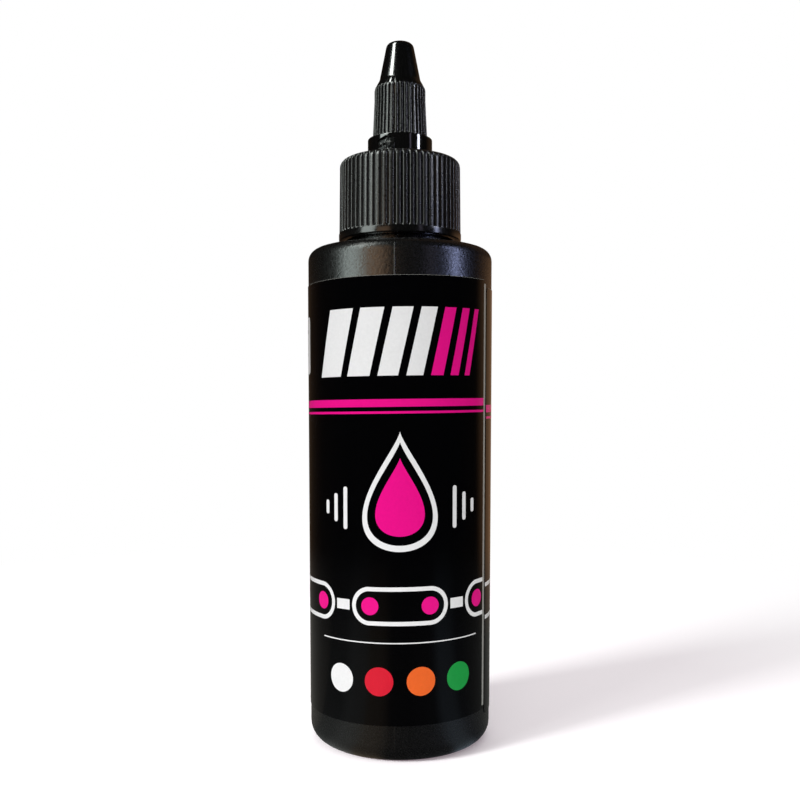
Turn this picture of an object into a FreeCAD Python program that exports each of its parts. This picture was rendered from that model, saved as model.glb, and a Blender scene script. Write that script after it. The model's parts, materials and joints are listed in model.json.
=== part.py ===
"""Squeeze bottle for bicycle chain lube, with a screw closure and a twist nozzle.

The bottle stands on its base ring at z = 0, centred on the z axis. Its front faces -Y.
Lengths are in millimetres and angles in degrees. A bearing turns about the z axis from +X.
"""
import FreeCAD
import Part
import Sketcher
import os
import re

# Driving sizes: cell alias, value and what it measures
SIZES = [
    ("bottle_diameter", 41.0, "outside of the blown body"),
    ("bottle_wall", 1.0, "wall of the blown body"),
    ("base_corner", 4.0, "outside radius between base and side"),
    ("foot_diameter", 27.0, "inner edge of the ring the bottle stands on"),
    ("push_up_depth", 2.2, "how far the base is pushed up inside that ring"),
    ("push_up_chamfer", 0.5, "softened edges of the push-up"),
    ("shoulder_height", 110.3, "height of the flat shoulder"),
    ("shoulder_corner", 2.6, "outside radius between side and shoulder"),
    ("neck_diameter", 21.6, "neck at the root of its thread"),
    ("neck_bore", 17.8, "inside of the neck"),
    ("neck_height", 17.2, "shoulder to sealing face"),
    ("neck_chamfer", 0.6, "softened edges at the foot of the neck"),
    ("thread_reach", 1.1, "how far the neck thread stands out of the neck"),
    ("label_bottom", 8.55, "lower edge of the label above the table"),
    ("label_height", 93.9, "height of the label"),
    ("label_film", 0.09, "thickness of the printed film"),
    ("label_adhesive", 0.03, "layer between bottle and film"),
    ("seam_gap", 0.6, "gap between the two ends of the label"),
    ("seam_bearing", 334.5, "bearing of that gap"),
    ("liner_thickness", 1.0, "sealing liner between neck and cap"),
    ("liner_bore", 16.4, "hole of the liner"),
    ("liner_clearance", 0.15, "liner to cap, on the radius"),
    ("cap_height", 17.5, "cap skirt with its deck"),
    ("cap_bottom_diameter", 27.3, "cap at its smooth lower band"),
    ("cap_top_diameter", 26.7, "cap at its deck, the draft of the skirt"),
    ("cap_band", 1.5, "height of the smooth lower band"),
    ("cap_corner", 1.4, "outside radius between skirt and deck"),
    ("thread_clearance", 0.15, "neck thread to cap bore, on the radius"),
    ("deck_thickness", 1.3, "top wall of the cap"),
    ("cap_rib_count", 57, "ribs round the cap"),
    ("cap_rib_depth", 0.45, "depth of the grooves between them"),
    ("cap_groove_angle", 2.3, "width of those grooves"),
    ("collar_diameter", 14.3, "ring round the foot of the nozzle"),
    ("collar_wall", 0.75, "wall of that ring"),
    ("collar_height", 4.8, "ring above the deck"),
    ("collar_chamfer", 0.2, "softened edges of the ring's rim"),
    ("tab_bearing", 248.0, "bearing of the tear tab's stub on the collar"),
    ("tab_angle", 34.0, "width of that stub"),
    ("tab_height", 3.4, "height of that stub"),
    ("tab_reach", 0.5, "how far it stands out of the collar"),
    ("spout_diameter", 8.0, "spout that the nozzle slides on"),
    ("spout_wall", 1.0, "wall of the spout"),
    ("spout_height", 14.6, "spout above the deck"),
    ("pin_diameter", 1.6, "sealing pin that plugs the orifice"),
    ("pin_recess", 0.25, "pin below the tip when the nozzle is shut"),
    ("port_count", 4, "ports round the foot of the pin"),
    ("port_diameter", 1.3, "diameter of a port"),
    ("nozzle_float", 0.4, "nozzle above the deck when it is shut"),
    ("nozzle_height", 25.35, "nozzle from its foot to its tip"),
    ("nozzle_foot_diameter", 12.1, "nozzle inside the collar"),
    ("nozzle_band", 4.6, "height of the smooth foot"),
    ("nozzle_grip_diameter", 11.31, "ribbed grip above its flare"),
    ("flare_top", 12.8, "height at which the flare ends"),
    ("grip_top", 15.25, "height at which the shoulder begins"),
    ("grip_round", 1.5, "rounding of the shoulder"),
    ("cone_height", 17.25, "height at which the smooth cone begins"),
    ("cone_diameter", 9.08, "foot of the smooth cone"),
    ("tip_diameter", 5.76, "tip before its rounding"),
    ("tip_round", 1.24, "rounding of the tip"),
    ("nozzle_wall", 1.2, "wall at the foot of the cone"),
    ("chamber_top_diameter", 3.6, "inside of the cone below the orifice"),
    ("orifice_length", 2.6, "length of the orifice"),
    ("orifice_clearance", 0.12, "pin to orifice, on the radius"),
    ("spout_clearance", 0.25, "spout to nozzle, on the radius"),
    ("roof_clearance", 0.4, "top of the spout to the roof of its bore"),
    ("nozzle_rib_count", 35, "ribs round the nozzle"),
    ("nozzle_rib_depth", 0.32, "depth of the grooves between them"),
    ("nozzle_groove_angle", 4.4, "width of those grooves"),
]
ALIASES = {alias for alias, value, note in SIZES}

# Heights and radii that follow from the driving sizes
NECK_TOP = "(shoulder_height + neck_height)"
DECK_UNDERSIDE = f"({NECK_TOP} + liner_thickness)"
DECK_TOP = f"({DECK_UNDERSIDE} + deck_thickness)"
CAP_BOTTOM = f"({DECK_TOP} - cap_height)"
CAP_BORE_RADIUS = "(neck_diameter / 2 + thread_reach + thread_clearance)"
COLLAR_TOP = f"({DECK_TOP} + collar_height)"
SPOUT_TOP = f"({DECK_TOP} + spout_height)"
SPOUT_WEB = f"({SPOUT_TOP} - spout_wall)"
NOZZLE_FOOT = f"({DECK_TOP} + nozzle_float)"
NOZZLE_TIP = f"({NOZZLE_FOOT} + nozzle_height)"
FULL_TURN = 360
CUT_MARGIN = 1.0
SAME_PLACE = 1e-4

doc = FreeCAD.newDocument("LubeBottle")
sheet = doc.addObject("Spreadsheet::Sheet", "Sizes")
for row, (alias, value, note) in enumerate(SIZES, start=1):
    sheet.set(f"A{row}", alias)
    sheet.set(f"B{row}", str(value))
    sheet.set(f"C{row}", note)
    sheet.setAlias(f"B{row}", alias)
doc.recompute()


def bound(formula):
    """Write a formula of aliases as an expression on the sheet."""
    return re.sub(r"[a-z]\w*", lambda word: f"Sizes.{word[0]}" if word[0] in ALIASES else word[0], formula)


def number(formula):
    """The present value of a formula of aliases."""
    return float(FreeCAD.Units.Quantity(sheet.evalExpression(bound(formula))))


def origin_feature(body, role):
    """One of the body's own base planes or axes."""
    return next(feature for feature in body.Origin.OriginFeatures if feature.Role == role)


def new_body(label):
    body = doc.addObject("PartDesign::Body", label)
    body.Label = label
    return body


def new_sketch(body, name, plane, bearing=None):
    """A sketch on a base plane, turned to a bearing about the z axis where one is given."""
    sketch = body.newObject("Sketcher::SketchObject", name)
    sketch.AttachmentSupport = [(origin_feature(body, plane), "")]
    sketch.MapMode = "FlatFace"
    if bearing:
        turn = FreeCAD.Rotation(FreeCAD.Vector(0, 1, 0), number(bearing))
        sketch.AttachmentOffset = FreeCAD.Placement(FreeCAD.Vector(), turn)
        sketch.setExpression("AttachmentOffset.Rotation.Angle", bound(bearing))
    return sketch


def pin_down(sketch, line, end, kind, formula):
    """Fix one coordinate of a line's end to a formula, or to the axis where it is zero."""
    if formula == "0":
        axis = -2 if kind == "DistanceX" else -1
        sketch.addConstraint(Sketcher.Constraint("PointOnObject", line, end, axis))
        return
    place = sketch.addConstraint(Sketcher.Constraint(kind, -1, 1, line, end, number(formula)))
    sketch.setExpression(f"Constraints[{place}]", bound(formula))


def section(body, name, points, bearing=None):
    """A closed half section: corners of radius and height, each bound to the sheet."""
    sketch = new_sketch(body, name, "XZ_Plane", bearing)
    places = [FreeCAD.Vector(number(radius), number(height), 0) for radius, height in points]
    count = len(points)
    for index in range(count):
        sketch.addGeometry(Part.LineSegment(places[index], places[(index + 1) % count]))
    for index in range(count):
        sketch.addConstraint(Sketcher.Constraint("Coincident", index, 2, (index + 1) % count, 1))
    for index, (radius, height) in enumerate(points):
        pin_down(sketch, index, 1, "DistanceX", radius)
        pin_down(sketch, index, 1, "DistanceY", height)
    return sketch


def spin(body, kind, name, sketch, angle=None):
    """Revolve a section about the z axis, all round or by an angle centred on the section."""
    feature = body.newObject(f"PartDesign::{kind}", name)
    feature.Profile = sketch
    feature.ReferenceAxis = (sketch, ["V_Axis"])
    feature.Angle = FULL_TURN
    if angle:
        feature.Midplane = True
        feature.setExpression("Angle", bound(angle))
    sketch.Visibility = False
    doc.recompute()
    return feature


def cut_check(body, before, name):
    """A cut has to take material away."""
    if body.Shape.Volume >= before:
        raise RuntimeError(f"{name} cuts nothing")


def soften_rings(body, kind, name, size, rings):
    """Fillet or chamfer the circular edges that lie at the given radii and heights."""
    base = body.Tip
    wanted = [(number(ring_radius), number(height)) for ring_radius, height in rings]
    names = []
    for index, edge in enumerate(base.Shape.Edges, start=1):
        if not isinstance(edge.Curve, Part.Circle):
            continue
        ring = (edge.Curve.Radius, edge.Curve.Center.z)
        if any(abs(ring[0] - r) < SAME_PLACE and abs(ring[1] - z) < SAME_PLACE for r, z in wanted):
            names.append(f"Edge{index}")
    if len(names) < len(rings):
        raise RuntimeError(f"{name} finds {len(names)} of {len(rings)} edges")
    feature = body.newObject(f"PartDesign::{kind}", name)
    feature.Base = (base, names)
    feature.setExpression("Radius" if kind == "Fillet" else "Size", bound(size))
    doc.recompute()
    return feature


def repeat_round(body, name, feature, count):
    """Repeat a cut evenly about the z axis."""
    pattern = body.newObject("PartDesign::PolarPattern", name)
    pattern.Originals = [feature]
    pattern.Axis = (origin_feature(body, "Z_Axis"), [""])
    pattern.Angle = FULL_TURN
    pattern.setExpression("Occurrences", bound(count))
    body.Tip = pattern
    doc.recompute()
    return pattern


def make_bottle():
    """Blown body with a pushed-up base, a flat shoulder and a neck."""
    body = new_body("bottle")
    side = "bottle_diameter / 2"
    dome = "foot_diameter / 2 - push_up_depth"
    outside = section(body, "BottleOutside", [
        ("0", "push_up_depth"),
        (dome, "push_up_depth"),
        ("foot_diameter / 2", "0"),
        (side, "0"),
        (side, "shoulder_height"),
        ("neck_diameter / 2", "shoulder_height"),
        ("neck_diameter / 2", NECK_TOP),
        ("0", NECK_TOP),
    ])
    spin(body, "Revolution", "BlownForm", outside)

    # The cavity follows the outside one wall further in. The push-up slopes at 45 degrees,
    # so its inner corners move out by the tangent of half that angle.
    inner_side = f"{side} - bottle_wall"
    shift = "bottle_wall * tan(22.5 deg)"
    cavity = section(body, "BottleCavity", [
        ("0", "push_up_depth + bottle_wall"),
        (f"{dome} + {shift}", "push_up_depth + bottle_wall"),
        (f"foot_diameter / 2 + {shift}", "bottle_wall"),
        (inner_side, "bottle_wall"),
        (inner_side, "shoulder_height - bottle_wall"),
        ("neck_bore / 2", "shoulder_height - bottle_wall"),
        ("neck_bore / 2", NECK_TOP),
        ("0", NECK_TOP),
    ])
    before = body.Shape.Volume
    spin(body, "Groove", "Hollow", cavity)
    cut_check(body, before, "Hollow")

    # Inner corners are cut across where they would touch a concentric rounding, and before
    # the outside is rounded, so that the wall is never lost
    across = "(2 - sqrt(2))"
    soften_rings(body, "Chamfer", "InnerBaseCorner", f"(base_corner - bottle_wall) * {across}",
                 [(inner_side, "bottle_wall")])
    soften_rings(body, "Chamfer", "InnerShoulderCorner", f"(shoulder_corner - bottle_wall) * {across}",
                 [(inner_side, "shoulder_height - bottle_wall")])
    soften_rings(body, "Chamfer", "NeckFoot", "neck_chamfer",
                 [("neck_bore / 2", "shoulder_height - bottle_wall"),
                  ("neck_diameter / 2", "shoulder_height")])
    soften_rings(body, "Chamfer", "PushUpEdges", "push_up_chamfer",
                 [(dome, "push_up_depth"), ("foot_diameter / 2", "0")])
    soften_rings(body, "Fillet", "BaseCorner", "base_corner", [(side, "0")])
    soften_rings(body, "Fillet", "ShoulderCorner", "shoulder_corner", [(side, "shoulder_height")])
    return body


def make_label():
    """Printed film wrapped round the body, its ends apart at the seam."""
    body = new_body("wrap_label")
    inner = "bottle_diameter / 2 + label_adhesive"
    outer = f"{inner} + label_film"
    top = "label_bottom + label_height"
    film = section(body, "LabelFilm", [
        (inner, "label_bottom"),
        (outer, "label_bottom"),
        (outer, top),
        (inner, top),
    ], bearing="seam_bearing - 180")
    spin(body, "Revolution", "Wrap", film,
         angle="360 - seam_gap / (bottle_diameter / 2) * 180 / pi")
    return body


def make_liner():
    """Flat sealing ring pressed between the neck and the cap."""
    body = new_body("sealing_liner")
    rim = f"{CAP_BORE_RADIUS} - liner_clearance"
    ring = section(body, "LinerRing", [
        ("liner_bore / 2", NECK_TOP),
        (rim, NECK_TOP),
        (rim, DECK_UNDERSIDE),
        ("liner_bore / 2", DECK_UNDERSIDE),
    ])
    spin(body, "Revolution", "Liner", ring)
    return body


def make_cap():
    """Ribbed screw cap, moulded in one with the collar, the spout and the sealing pin."""
    body = new_body("screw_cap")
    collar_inside = "collar_diameter / 2 - collar_wall"
    spout_inside = "spout_diameter / 2 - spout_wall"
    moulding = section(body, "CapMoulding", [
        (CAP_BORE_RADIUS, CAP_BOTTOM),
        ("cap_bottom_diameter / 2", CAP_BOTTOM),
        ("cap_bottom_diameter / 2", f"{CAP_BOTTOM} + cap_band"),
        ("cap_top_diameter / 2", DECK_TOP),
        ("collar_diameter / 2", DECK_TOP),
        ("collar_diameter / 2", COLLAR_TOP),
        (collar_inside, COLLAR_TOP),
        (collar_inside, DECK_TOP),
        ("spout_diameter / 2", DECK_TOP),
        ("spout_diameter / 2", SPOUT_TOP),
        ("pin_diameter / 2", SPOUT_TOP),
        ("pin_diameter / 2", f"{NOZZLE_TIP} - pin_recess"),
        ("0", f"{NOZZLE_TIP} - pin_recess"),
        ("0", SPOUT_WEB),
        (spout_inside, SPOUT_WEB),
        (spout_inside, DECK_UNDERSIDE),
        (CAP_BORE_RADIUS, DECK_UNDERSIDE),
    ])
    spin(body, "Revolution", "CapForm", moulding)
    soften_rings(body, "Fillet", "CapCorner", "cap_corner", [("cap_top_diameter / 2", DECK_TOP)])
    soften_rings(body, "Chamfer", "CollarRim", "collar_chamfer",
                 [("collar_diameter / 2", COLLAR_TOP), (collar_inside, COLLAR_TOP)])

    # The stub of the tear tab stands on the outside of the collar
    stub = section(body, "TabSection", [
        ("collar_diameter / 2 - collar_wall / 2", DECK_TOP),
        ("collar_diameter / 2 + tab_reach", DECK_TOP),
        ("collar_diameter / 2 + tab_reach", f"{DECK_TOP} + tab_height"),
        ("collar_diameter / 2 - collar_wall / 2", f"{DECK_TOP} + tab_height"),
    ], bearing="tab_bearing")
    spin(body, "Revolution", "TearTabStub", stub, angle="tab_angle")

    # Ports through the web at the top of the spout let the lube past the pin
    ring = new_sketch(body, "PortCircle", "XY_Plane")
    middle = f"(pin_diameter / 2 + {spout_inside}) / 2"
    ring.AttachmentOffset = FreeCAD.Placement(
        FreeCAD.Vector(0, 0, number(SPOUT_TOP)), FreeCAD.Rotation())
    ring.setExpression("AttachmentOffset.Base.z", bound(SPOUT_TOP))
    ring.addGeometry(Part.Circle(FreeCAD.Vector(number(middle), 0, 0), FreeCAD.Vector(0, 0, 1),
                                 number("port_diameter / 2")))
    ring.addConstraint(Sketcher.Constraint("PointOnObject", 0, 3, -1))
    pin_down(ring, 0, 3, "DistanceX", middle)
    size = ring.addConstraint(Sketcher.Constraint("Diameter", 0, number("port_diameter")))
    ring.setExpression(f"Constraints[{size}]", bound("port_diameter"))
    before = body.Shape.Volume
    port = body.newObject("PartDesign::Pocket", "Port")
    port.Profile = ring
    port.setExpression("Length", bound("spout_wall"))
    doc.recompute()
    cut_check(body, before, "Port")
    repeat_round(body, "Ports", port, "port_count")

    # Grooves between the ribs run from the smooth band up over the rounded corner
    groove = section(body, "CapGrooveSection", [
        ("cap_bottom_diameter / 2 - cap_rib_depth", f"{CAP_BOTTOM} + cap_band"),
        (f"cap_bottom_diameter / 2 + {CUT_MARGIN}", f"{CAP_BOTTOM} + cap_band"),
        (f"cap_bottom_diameter / 2 + {CUT_MARGIN}", DECK_TOP),
        ("cap_top_diameter / 2 - cap_rib_depth", DECK_TOP),
    ])
    before = body.Shape.Volume
    cut = spin(body, "Groove", "CapGroove", groove, angle="cap_groove_angle")
    cut_check(body, before, "CapGroove")
    repeat_round(body, "CapRibs", cut, "cap_rib_count")
    return body


def make_nozzle():
    """Twist nozzle: smooth foot, flared ribbed grip, shoulder, and a cone with the orifice."""
    body = new_body("twist_nozzle")
    foot = "nozzle_foot_diameter / 2"
    grip = "nozzle_grip_diameter / 2"
    bore = "spout_diameter / 2 + spout_clearance"
    orifice = "pin_diameter / 2 + orifice_clearance"
    roof = f"{SPOUT_TOP} + roof_clearance"
    chamber_top = f"{NOZZLE_TIP} - orifice_length"
    cone_foot = f"{NOZZLE_FOOT} + cone_height"
    shell = section(body, "NozzleShell", [
        (bore, NOZZLE_FOOT),
        (foot, NOZZLE_FOOT),
        (foot, f"{NOZZLE_FOOT} + nozzle_band"),
        (grip, f"{NOZZLE_FOOT} + flare_top"),
        (grip, f"{NOZZLE_FOOT} + grip_top"),
        ("cone_diameter / 2", cone_foot),
        ("tip_diameter / 2", NOZZLE_TIP),
        (orifice, NOZZLE_TIP),
        (orifice, chamber_top),
        ("chamber_top_diameter / 2", chamber_top),
        ("cone_diameter / 2 - nozzle_wall", roof),
        (bore, roof),
    ])
    spin(body, "Revolution", "NozzleForm", shell)
    soften_rings(body, "Fillet", "GripShoulder", "grip_round", [(grip, f"{NOZZLE_FOOT} + grip_top")])
    soften_rings(body, "Fillet", "TipRound", "tip_round", [("tip_diameter / 2", NOZZLE_TIP)])

    # Grooves between the ribs follow the flare and run out through the shoulder
    groove = section(body, "NozzleGrooveSection", [
        (f"{foot} - nozzle_rib_depth", f"{NOZZLE_FOOT} + nozzle_band"),
        (f"{foot} + {CUT_MARGIN}", f"{NOZZLE_FOOT} + nozzle_band"),
        (f"{foot} + {CUT_MARGIN}", cone_foot),
        (f"{grip} - nozzle_rib_depth", cone_foot),
        (f"{grip} - nozzle_rib_depth", f"{NOZZLE_FOOT} + flare_top"),
    ])
    before = body.Shape.Volume
    cut = spin(body, "Groove", "NozzleGroove", groove, angle="nozzle_groove_angle")
    cut_check(body, before, "NozzleGroove")
    repeat_round(body, "NozzleRibs", cut, "nozzle_rib_count")
    return body


def write_parts(bodies):
    """Check every object, then write one file for each piece."""
    doc.recompute()
    failed = [item.Name for item in doc.Objects if {"Invalid", "Error"} & set(item.State)]
    if failed:
        raise RuntimeError(f"failed objects: {failed}")
    for body in bodies:
        if body.Shape.isNull() or not body.Shape.isValid():
            raise RuntimeError(f"{body.Label} has no valid shape")
        if len(body.Shape.Solids) != 1:
            raise RuntimeError(f"{body.Label} is not one solid")
    os.makedirs("parts", exist_ok=True)
    for body in bodies:
        body.Shape.exportStep(f"parts/{body.Label}.step")
        print(f"{body.Label}: {body.Shape.Volume:.1f} cubic mm")


write_parts([make_bottle(), make_label(), make_liner(), make_cap(), make_nozzle()])
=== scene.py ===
"""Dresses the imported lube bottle: blown body, printed wrap label, ribbed screw cap and twist nozzle."""
import json
import math

import bmesh
import bpy
from bpy.props import FloatProperty, FloatVectorProperty, IntProperty, PointerProperty
from mathutils import Matrix, Vector, noise

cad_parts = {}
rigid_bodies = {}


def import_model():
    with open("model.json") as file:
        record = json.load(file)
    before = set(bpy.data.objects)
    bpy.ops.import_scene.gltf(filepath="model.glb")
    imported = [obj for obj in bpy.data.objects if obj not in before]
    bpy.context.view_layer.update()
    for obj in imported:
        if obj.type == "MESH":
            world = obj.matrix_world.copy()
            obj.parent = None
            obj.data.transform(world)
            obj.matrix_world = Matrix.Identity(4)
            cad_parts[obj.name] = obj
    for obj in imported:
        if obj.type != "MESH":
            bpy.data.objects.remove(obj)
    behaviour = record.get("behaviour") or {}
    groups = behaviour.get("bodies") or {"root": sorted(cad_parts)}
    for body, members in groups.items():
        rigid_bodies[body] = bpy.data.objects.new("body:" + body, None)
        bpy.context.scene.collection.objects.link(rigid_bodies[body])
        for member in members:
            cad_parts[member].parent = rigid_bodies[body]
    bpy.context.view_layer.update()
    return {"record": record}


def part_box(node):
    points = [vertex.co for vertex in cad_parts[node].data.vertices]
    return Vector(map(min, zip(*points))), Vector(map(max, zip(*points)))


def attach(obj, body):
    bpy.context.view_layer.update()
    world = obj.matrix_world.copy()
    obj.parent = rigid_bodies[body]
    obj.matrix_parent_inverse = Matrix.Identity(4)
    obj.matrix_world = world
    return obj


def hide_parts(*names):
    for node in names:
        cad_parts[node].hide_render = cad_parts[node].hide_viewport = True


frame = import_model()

bl_info = {
    "name": "Lube bottle",
    "version": (1, 0, 0),
    "blender": (4, 5, 0),
    "location": "3D View > Sidebar > Lube bottle",
    "description": "Builds the bottle, its label, its closure and the stage that shows them",
    "category": "Object",
}

MM = 0.001
BOTTLE_LOW, BOTTLE_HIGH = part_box("bottle")
LABEL_LOW, LABEL_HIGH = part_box("wrap_label")
LINER_LOW, LINER_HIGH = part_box("sealing_liner")
CAP_LOW, CAP_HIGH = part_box("screw_cap")
NOZZLE_LOW, NOZZLE_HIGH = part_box("twist_nozzle")

# The cap's rise in one turn is the pitch of the thread
RISE_PER_RADIAN = frame["record"]["behaviour"]["couplings"][0]["ratio"]
FULL_TURN = 2 * math.pi
FRONT = -math.pi / 2

# The thread in the scene: its length, and how far below the sealing face the neck's ridge ends
THREAD_TURNS = 1.5
THREAD_LEAD = 1.9 * MM
# Points closer than this are one
WELD = 1e-7
# Facets round the turned pieces, and in each rib's pitch on the grooved ones
BOTTLE_FACETS = 192
FILM_FACETS = 420
LINER_FACETS = 128
RIB_FACETS = 16
# The varnish over the print
VARNISH = {"roughness": 0.12, "specular": 0.25}


def linear_colour(code):
    """An sRGB hex colour as linear red, green, blue and alpha."""
    shares = [int(code[place:place + 2], 16) / 255 for place in (1, 3, 5)]
    linear = [share / 12.92 if share <= 0.04045 else ((share + 0.055) / 1.055) ** 2.4 for share in shares]
    return linear + [1.0]


def length(name, default, description):
    return FloatProperty(name=name, description=description, default=default, unit="LENGTH", precision=5)


def number(name, default, description):
    return FloatProperty(name=name, description=description, default=default, precision=4)


def bearing(name, degrees, description):
    return FloatProperty(name=name, description=description, default=math.radians(degrees), subtype="ANGLE")


def colour(name, code, description):
    return FloatVectorProperty(name=name, description=description, default=linear_colour(code), size=4,
                               subtype="COLOR", min=0.0, max=1.0)


class BottleSettings(bpy.types.PropertyGroup):
    """The blown bottle and its threaded neck."""
    radius: length("Radius", BOTTLE_HIGH[0], "Outside of the body")
    wall: length("Wall", 1.0 * MM, "Thickness of the blown wall")
    base_corner: length("Base corner", 4.0 * MM, "Rounding between the base and the side")
    foot_radius: length("Foot radius", 13.5 * MM, "Inner edge of the ring the bottle stands on")
    push_up: length("Push-up", 2.2 * MM, "How far the middle of the base is pushed in")
    shoulder: length("Shoulder height", 110.3 * MM, "Height of the flat shoulder")
    shoulder_corner: length("Shoulder corner", 2.6 * MM, "Rounding between the side and the shoulder")
    neck_radius: length("Neck radius", 10.8 * MM, "Outside of the neck under its thread")
    neck_bore: length("Neck bore", 8.9 * MM, "Inside radius of the neck")
    neck_top: length("Neck top", BOTTLE_HIGH[2], "Height of the sealing face")
    thread_reach: length("Thread reach", 1.1 * MM, "Height of the thread's ridge")
    thread_pitch: length("Thread pitch", RISE_PER_RADIAN * FULL_TURN, "Rise in one turn")
    parting_bearing: bearing("Parting line", -3.1, "Where the mould halves met, to the right of the front")
    parting_width: length("Parting width", 0.34 * MM, "Width of the parting line's ridge")
    parting_rise: length("Parting rise", 0.055 * MM, "Height of the parting line's ridge")
    plastic: colour("Plastic", "#0C0C0C", "Black of the blown plastic")


class LabelSettings(bpy.types.PropertyGroup):
    """The wrap label and what is printed on it."""
    outside: length("Outside radius", -LABEL_LOW[1], "Outer face of the film")
    film: length("Film", 0.09 * MM, "Thickness of the film")
    bottom: length("Bottom", LABEL_LOW[2], "Height of the lower edge at the front")
    top: length("Top", LABEL_HIGH[2], "Height of the upper edge at the front")
    seam_bearing: bearing("Seam", 64.5, "Where the ends meet, to the right of the front")
    seam_gap: length("Seam gap", 0.6 * MM, "Gap between the two ends")
    corner: length("Corner", 1.0 * MM, "Rounding of the film's corners")
    skew: number("Skew", 0.0118, "Rise of the label for each unit to the right")
    ground: colour("Ground", "#030304", "Printed black of the film")
    white: colour("White ink", "#F4F4F4", "White print")
    pink: colour("Pink ink", "#F5148F", "Pink print")
    green: colour("Green ink", "#1F9E46", "Green print")
    orange: colour("Orange ink", "#F26A2B", "Orange print")
    red: colour("Red ink", "#DB2036", "Red print")
    # Pale grey painted as the highlights along the label's cut end and upper edge
    cut_edge: colour("Cut edge", "#A5A5A0", "Pale film painted as highlights along the cut end and the upper edge")


class ClosureSettings(bpy.types.PropertyGroup):
    """The sealing liner and the screw cap with its collar, spout and pin."""
    liner_bore: length("Liner bore", 8.2 * MM, "Hole in the sealing liner")
    foam: colour("Foam", "#E9E9E4", "White of the foamed liner")
    bottom: length("Bottom", CAP_LOW[2], "Height of the skirt's lower edge")
    radius: length("Radius", CAP_HIGH[0], "Outside of the smooth band")
    top_radius: length("Top radius", 13.35 * MM, "Outside of the skirt at the deck")
    band: length("Band", 1.5 * MM, "Height of the smooth band")
    deck: length("Deck", 129.8 * MM, "Height of the deck's upper face")
    deck_thickness: length("Deck thickness", 1.3 * MM, "Thickness of the deck")
    corner: length("Corner", 1.4 * MM, "Rounding between the skirt and the deck")
    bore: length("Bore", 12.05 * MM, "Inside radius of the skirt")
    ribs: IntProperty(name="Ribs", description="Ribs round the skirt", default=57, min=3)
    rib_depth: length("Rib depth", 0.5 * MM, "Depth of the grooves between the ribs")
    collar_radius: length("Collar radius", 7.15 * MM, "Outside of the smooth collar")
    collar_inside: length("Collar inside", 6.4 * MM, "Inside of the smooth collar")
    collar_height: length("Collar height", 4.8 * MM, "Height of the collar over the deck")
    spout_radius: length("Spout radius", 4.0 * MM, "Outside of the spout")
    spout_bore: length("Spout bore", 3.0 * MM, "Inside of the spout")
    spout_height: length("Spout height", 14.6 * MM, "Height of the spout over the deck")
    pin_radius: length("Pin radius", 0.8 * MM, "The pin that plugs the orifice")
    port_radius: length("Port radius", 0.65 * MM, "Holes that let the lube past the pin")
    tab_bearing: bearing("Tear tab", -25.5, "Middle of the tab's stub, to the right of the front")
    tab_angle: bearing("Tear tab width", 34.0, "Angle that the stub spans")
    tab_height: length("Tear tab height", 4.2 * MM, "Height of the stub over the deck")
    tab_reach: length("Tear tab reach", 0.5 * MM, "How far the stub stands off the collar")
    plastic: colour("Plastic", "#0D0D0D", "Black of the moulded cap")


class NozzleSettings(bpy.types.PropertyGroup):
    """The twist nozzle. Its heights are above its own foot."""
    foot: length("Foot", NOZZLE_LOW[2], "Height of the nozzle's lower edge when it is shut")
    tip: length("Tip", NOZZLE_HIGH[2], "Height of the tip when it is shut")
    foot_radius: length("Foot radius", NOZZLE_HIGH[0], "Outside of the smooth foot")
    band: length("Band", 4.6 * MM, "Height of the smooth foot")
    grip_radius: length("Grip radius", 5.655 * MM, "Outside of the ribs above the flare")
    flare_top: length("Flare top", 12.8 * MM, "Where the flare ends")
    grip_top: length("Grip top", 15.25 * MM, "Where the ribs turn in")
    grip_round: length("Grip rounding", 1.5 * MM, "Rounding over the ribs")
    cone_foot: length("Cone foot", 17.25 * MM, "Where the smooth cone starts")
    cone_radius: length("Cone radius", 4.54 * MM, "Outside of the cone at its foot")
    tip_radius: length("Tip radius", 2.88 * MM, "Outside of the cone at the tip")
    tip_round: length("Tip rounding", 1.24 * MM, "Rounding at the tip")
    bore: length("Bore", 4.25 * MM, "Inside radius round the spout")
    roof: length("Roof", 14.6 * MM, "Where the bore narrows")
    chamber_radius: length("Chamber radius", 1.8 * MM, "Inside of the cone under the orifice")
    orifice_radius: length("Orifice radius", 0.92 * MM, "The hole that the pin plugs")
    orifice_length: length("Orifice length", 2.6 * MM, "Depth of the hole that the pin plugs")
    wall: length("Wall", 1.2 * MM, "Wall of the cone")
    ribs: IntProperty(name="Ribs", description="Ribs round the grip", default=35, min=3)
    rib_depth: length("Rib depth", 0.42 * MM, "Depth of the grooves between the ribs")
    plastic: colour("Plastic", "#0A0A0A", "Black of the moulded nozzle")


class StageSettings(bpy.types.PropertyGroup):
    """The floor, the light and the camera."""
    eye_distance: length("Eye distance", 215.6 * MM, "From the bottle's axis to the camera")
    eye_height: length("Eye height", 76.05 * MM, "From the floor to the camera")
    look_down: bearing("Look down", 4.0, "Tilt of the camera below the horizon")
    lens: number("Lens", 42.65, "Focal length in millimetres")
    lift: number("Lift", 0.0885, "Upward shift of the frame, as a share of its width")
    floor_radius: length("Floor radius", 1.2, "Size of the round floor")
    lit_reach: length("Lit reach", 100 * MM, "How far from the bottle's axis the floor is lit paper alone")
    white_reach: length("White reach", 300 * MM, "Where the floor has become plain white")
    window_distance: length("Window distance", 620 * MM, "From the aim to the lamps of the highlights")
    aim: length("Aim", 80 * MM, "Height that the lamps look at")
    paper: colour("Paper", "#FFFFFF", "White of the floor and the backdrop")
    glow: colour("Shadow tint", "#FFE7F4", "Tint of the light that is left in the shadow")
    shadow_light: number("Shadow light", 0.21, "Strength of the light that is left in the shadow")
    room_light: number("Room light", 0.3, "Strength of the even light from all round")


# Materials


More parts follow.
